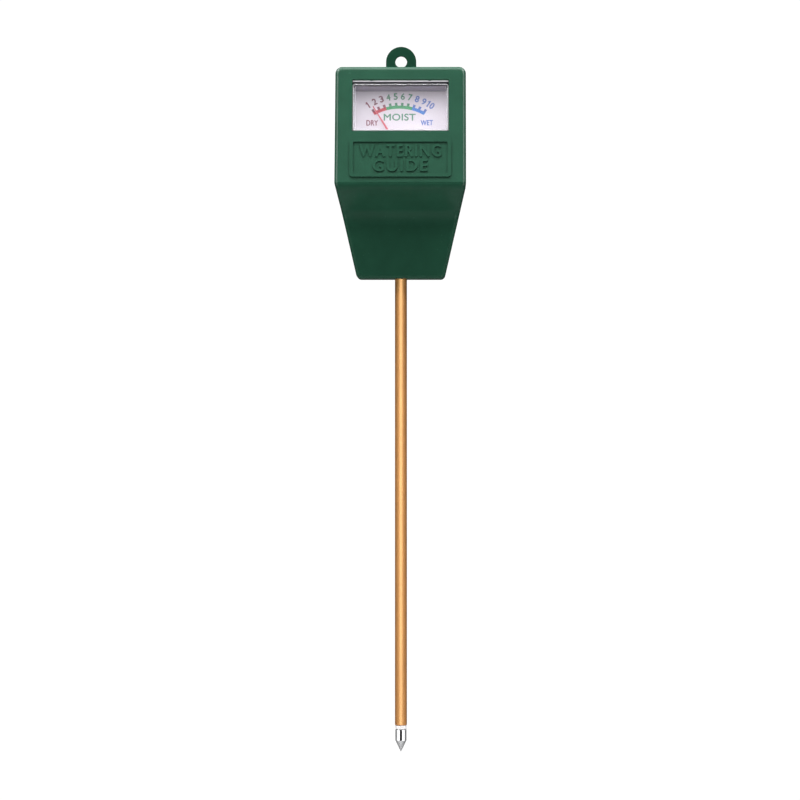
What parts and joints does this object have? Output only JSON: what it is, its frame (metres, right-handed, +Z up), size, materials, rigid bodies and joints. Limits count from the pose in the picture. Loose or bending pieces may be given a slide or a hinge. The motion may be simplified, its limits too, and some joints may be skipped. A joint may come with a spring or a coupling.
{
  "type": "soil moisture sensor",
  "caption": "Handheld analogue soil moisture sensor: a slim pointed two-metal probe under a sloping green head with a needle dial and a hanging loop.",
  "frame": {"origin": "the sharp point at the lower end of the probe", "axes": "+Z runs up the probe towards the head; -Y is the side the dial faces; +X is to the right when the dial is read"},
  "size_m": [0.0496, 0.0356, 0.2705],
  "materials": {
    "green_case": "satin",
    "clear_window": "polished",
    "meter_chassis": "matte",
    "dial": "satin",
    "screws": "satin",
    "soft_iron": "satin",
    "magnet": "matte",
    "spacers": "satin",
    "bridges": "satin",
    "tags": "satin",
    "resistor": "satin",
    "lead_red": "satin",
    "lead_black": "satin",
    "copper_tube": "satin",
    "liner": "satin",
    "insulating_ring": "satin",
    "bright_steel": "polished",
    "plain_steel": "satin",
    "hairsprings": "satin",
    "adjuster": "satin",
    "pointer_red": "satin",
    "winding": "gloss",
    "balance": "satin"
  },
  "bodies": {
    "root": {"front_shell": "green_case", "rear_cover": "green_case", "meter_cover": "clear_window", "meter_base": "meter_chassis", "dial_plate": "dial", "case_screw_upper_left": "screws", "case_screw_upper_right": "screws", "case_screw_lower_left": "screws", "case_screw_lower_right": "screws", "meter_screw_left": "screws", "meter_screw_right": "screws", "dial_screw_left": "screws", "dial_screw_right": "screws", "front_bridge_screw_left": "screws", "front_bridge_screw_right": "screws", "rear_bridge_screw_left": "screws", "rear_bridge_screw_right": "screws", "yoke_ring": "soft_iron", "core_magnet": "magnet", "core_spacer_upper": "spacers", "core_spacer_lower": "spacers", "front_bridge": "bridges", "rear_bridge": "bridges", "front_jewel_screw": "bridges", "rear_jewel_screw": "bridges", "terminal_tag_negative": "tags", "terminal_tag_positive": "tags", "tube_solder_tag": "tags", "shunt_resistor": "resistor", "lead_wire_red": "lead_red", "lead_wire_black": "lead_black", "probe_tube": "copper_tube", "probe_liner": "liner", "tip_insulator": "insulating_ring", "probe_tip": "bright_steel", "centre_rod": "plain_steel", "probe_clip": "plain_steel", "front_hairspring": "hairsprings", "rear_hairspring": "hairsprings"},
    "zero_adjuster": {"zero_adjuster": "adjuster"},
    "pointer_assembly": {"pointer": "pointer_red", "coil_former": "spacers", "coil_winding": "winding", "front_pivot": "plain_steel", "rear_pivot": "plain_steel", "balance_weight_tail": "balance", "balance_weight_left": "balance", "balance_weight_right": "balance"}
  },
  "joints": [
    {"name": "pointer_swing", "type": "hinge", "parent": "root", "child": "pointer_assembly", "pos_m": [0, -0.01464, 0.2285], "axis": [0, 0.9472, -0.3206], "range_deg": [-4, 64], "stiffness_Nm_per_rad": 0.0000025, "deforming": ["front_hairspring", "rear_hairspring"]},
    {"name": "zero_adjust", "type": "hinge", "parent": "root", "child": "zero_adjuster", "pos_m": [0, -0.01464, 0.2285], "axis": [0, 0.9472, -0.3206], "range_deg": [-8, 8], "deforming": ["front_hairspring"]}
  ]
}
